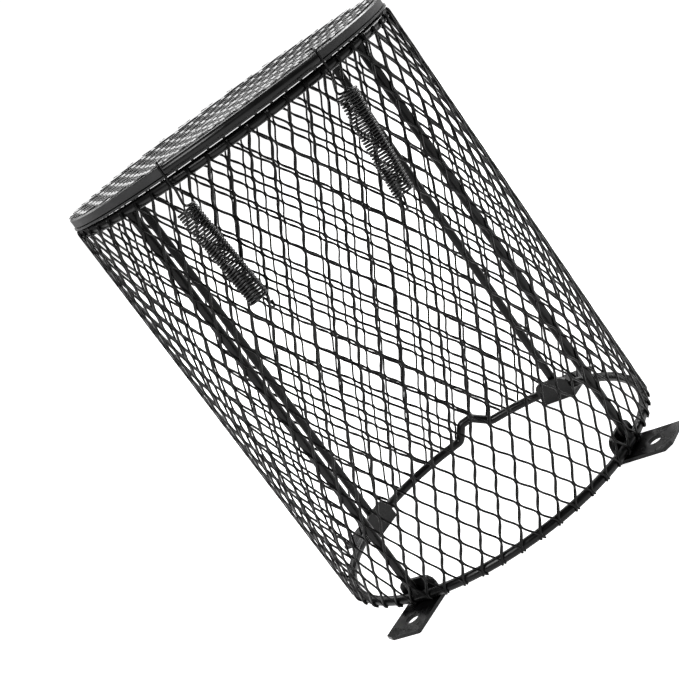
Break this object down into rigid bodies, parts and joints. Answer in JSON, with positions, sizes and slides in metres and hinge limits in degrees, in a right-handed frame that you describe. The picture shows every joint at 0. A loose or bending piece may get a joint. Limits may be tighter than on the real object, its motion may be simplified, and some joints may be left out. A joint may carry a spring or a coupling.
{
  "type": "mesh lamp guard",
  "caption": "Cylindrical expanded-metal guard for a heat lamp, with a sprung mesh lid, inner rod frame and screw tabs at the open end.",
  "frame": {"origin": "centre of the plane the four screw tabs stand on, on the cylinder's axis", "axes": "+Z along the cylinder from the screw tabs to the lid; -Y towards the hinge bar and the two springs; +X to the right seen from the spring side"},
  "size_m": [0.1202, 0.1222, 0.1584],
  "materials": {
    "frame": "satin black powder coat",
    "mesh": "satin black powder coat",
    "spring": "semi-gloss black coat"
  },
  "bodies": {
    "cage": {"mounting_ring": "frame", "top_ring": "frame", "post_front_left": "frame", "post_front_right": "frame", "post_rear_right": "frame", "post_rear_left": "frame", "tab_front_left": "frame", "tab_front_right": "frame", "tab_rear_right": "frame", "tab_rear_left": "frame", "wall_mesh": "mesh", "spring_left": "spring", "spring_right": "spring"},
    "lid": {"lid_rim": "frame", "lid_lip": "frame", "lid_mesh": "mesh", "hinge_bar": "frame"}
  },
  "joints": [
    {"name": "lid_hinge", "type": "hinge", "parent": "cage", "child": "lid", "pos_m": [0, -0.0609, 0.1529], "axis": [1, 0, 0], "range_deg": [0, 100], "stiffness_Nm_per_rad": 0.05, "springref_deg": -22.92, "deforming": ["spring_left", "spring_right"]}
  ]
}
